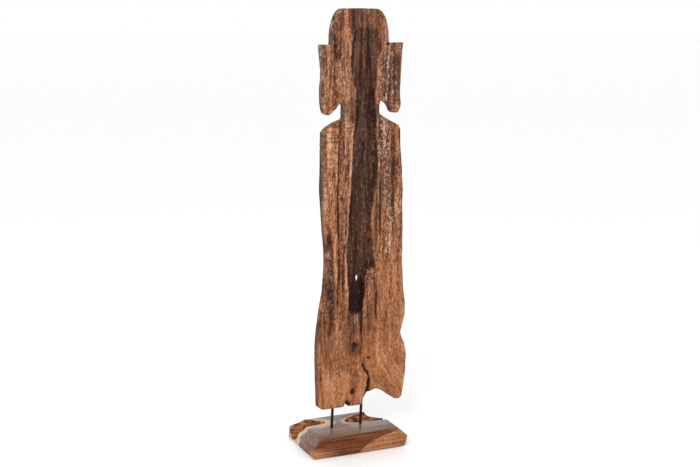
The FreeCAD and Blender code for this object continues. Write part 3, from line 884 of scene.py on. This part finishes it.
# The front's pale patch has a border that curves up to the right, and the left corner's is round
side, front_back, up = (put(tree, "SeparateXYZ", {0: place}, out=axis) for axis in "XYZ")
on_front = put(tree, "MapRange", {"Value": front_back, 1: -0.115, 2: -0.113, 3: 1.0, 4: 0.0})
ends = {1: BASE_MIDDLE_X + PATCH_START, 2: BASE_MIDDLE_X + PATCH_END, 3: 0.0, 4: 1.0}
border = put(tree, "MapRange", {"Value": side, **ends})
border = put(tree, "Math", {0: border, 1: 0.55}, operation="POWER")
border = put(tree, "Math", {0: border, 1: PATCH_HEIGHT}, operation="MULTIPLY")
border = put(tree, "Math", {0: drift, 1: 0.05, 2: border}, operation="MULTIPLY_ADD")
below = put(tree, "Math", {0: up, 1: border}, operation="SUBTRACT")
below = put(tree, "MapRange", {"Value": below, 1: -0.002, 2: 0.0015, 3: 1.0, 4: 0.0})
patch = put(tree, "Math", {0: below, 1: on_front}, operation="MULTIPLY")
colour = put(tree, "Mix", {0: patch, 6: colour, 7: tones["warm"]}, data_type="RGBA")
corner = Vector(CORNER_MIDDLE) + Vector((BASE_MIDDLE_X, 0, 0))
corner = {"Vector": place, "Location": corner, "Scale": CORNER_SIZE}
corner = put(tree, "Mapping", corner, vector_type="TEXTURE")
corner = put(tree, "VectorMath", {0: corner}, operation="LENGTH")
corner = put(tree, "Math", {0: drift, 1: 3.0, 2: corner}, operation="MULTIPLY_ADD")
corner = put(tree, "MapRange", {"Value": corner, 1: 0.55, 2: 1.25, 3: 1.0, 4: 0.0})
colour = put(tree, "Mix", {0: corner, 6: colour, 7: tones["warm"]}, data_type="RGBA")

# Dark veins of mineral wander through the wood
veins = put(tree, "Mapping", {"Vector": place, "Scale": per_cell(60, 18, 15)})
veins = {"Vector": veins, "Scale": 1.0, "Detail": 3.0, "Roughness": 0.6, "Distortion": 0.5}
veins = put(tree, "Math", {0: put(tree, "TexNoise", veins), 1: 0.5}, operation="SUBTRACT")
veins = put(tree, "Math", {0: veins}, operation="ABSOLUTE")
veins = put(tree, "MapRange", {"Value": veins, 1: 0.003, 2: 0.022, 3: 1.0, 4: 0.0})
veins = put(tree, "Math", {0: veins, 1: 0.45}, operation="MULTIPLY")
colour = put(tree, "Mix", {0: veins, 6: colour, 7: linear("#4f2b14")}, data_type="RGBA")

bump = put(tree, "Bump", {"Strength": 0.15, "Distance": 0.0005, "Height": grain_lines})
shader = {"Base Color": colour, "Roughness": 0.28, "Normal": bump, "IOR": 1.5, "Specular IOR Level": 0.18,
          "Coat Weight": 0.1, "Coat Roughness": 0.15}
put(tree, "OutputMaterial", {"Surface": put(tree, "BsdfPrincipled", shader)})

# Natural teak surface: the hollows are brushed but not lacquered, so they are rough and dull, in brown and
# orange
tree = natural_tree
mottle = put(tree, "Mapping", {"Vector": put(tree, "TexCoord", out="Object"), "Scale": per_cell(60, 16, 16)})
mottle = {"Vector": mottle, "Scale": 1.0, "Detail": 5.0, "Roughness": 0.62, "Distortion": 0.4}
mottle = put(tree, "TexNoise", mottle)
lively = put(tree, "MapRange", {"Value": mottle, 1: 0.36, 2: 0.64, 3: 0.0, 4: 1.0})
colour = put(tree, "ValToRGB", {"Fac": lively}, streaky("#4a240f", "#85522f", "#b9855d"))
bump = put(tree, "Bump", {"Strength": 0.7, "Distance": 0.0012, "Height": mottle})
shader = {"Base Color": colour, "Roughness": 0.8, "Normal": bump, "Specular IOR Level": 0.25}
put(tree, "OutputMaterial", {"Surface": put(tree, "BsdfPrincipled", shader)})
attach(base, "root")
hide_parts("base_block")

# The pads: four stamped discs of dark wool felt, glued near the base's corners so that it can't scratch a
# floor or rock on one. Their edges are soft and a little fuzzy.
PAD_WIDTH, PAD_THICKNESS = 26.0, 3.0
FELT_EDGE = 0.0008

# Wool felt: matted dark fibres, with no gloss but a faint sheen. Its fuzz is drawn in cells of 1.2 mm, which
# is coarser than real fibres, so that it shows.
felt, tree = new_material("wool felt")
fuzz = put(tree, "Mapping", {"Vector": put(tree, "TexCoord", out="Object"), "Scale": per_cell(1.2, 1.2, 1.2)})
fuzz = put(tree, "TexNoise", {"Vector": fuzz, "Scale": 1.0, "Detail": 5.0, "Roughness": 0.75})
colour = put(tree, "ValToRGB", {"Fac": fuzz}, [(0.3, "#241d19"), (0.7, "#4b3f37"), (0.5, "#352c26")])
bump = put(tree, "Bump", {"Strength": 0.8, "Distance": 0.0008, "Height": fuzz})
shader = {"Base Color": colour, "Roughness": 0.95, "Normal": bump, "Sheen Weight": 0.4}
put(tree, "OutputMaterial", {"Surface": put(tree, "BsdfPrincipled", shader)})

for corner in ("front_left", "front_right", "back_left", "back_right"):
    low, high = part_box("floor_pad_" + corner)
    deselect_all()
    bpy.ops.mesh.primitive_cylinder_add(
        vertices=48, radius=PAD_WIDTH / 2000, depth=PAD_THICKNESS / 1000, location=(low + high) / 2
    )
    bpy.ops.object.transform_apply(location=True, rotation=False, scale=False)
    pad = bpy.context.object
    pad.name = "felt_pad_" + corner
    rounded = pad.modifiers.new("soft edge", "BEVEL")
    rounded.width = FELT_EDGE
    rounded.segments = 3
    bpy.ops.object.modifier_apply(modifier=rounded.name)
    bpy.ops.object.shade_smooth_by_angle(angle=math.radians(50))
    pad.data.materials.append(felt)
    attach(pad, "root")
    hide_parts("floor_pad_" + corner)
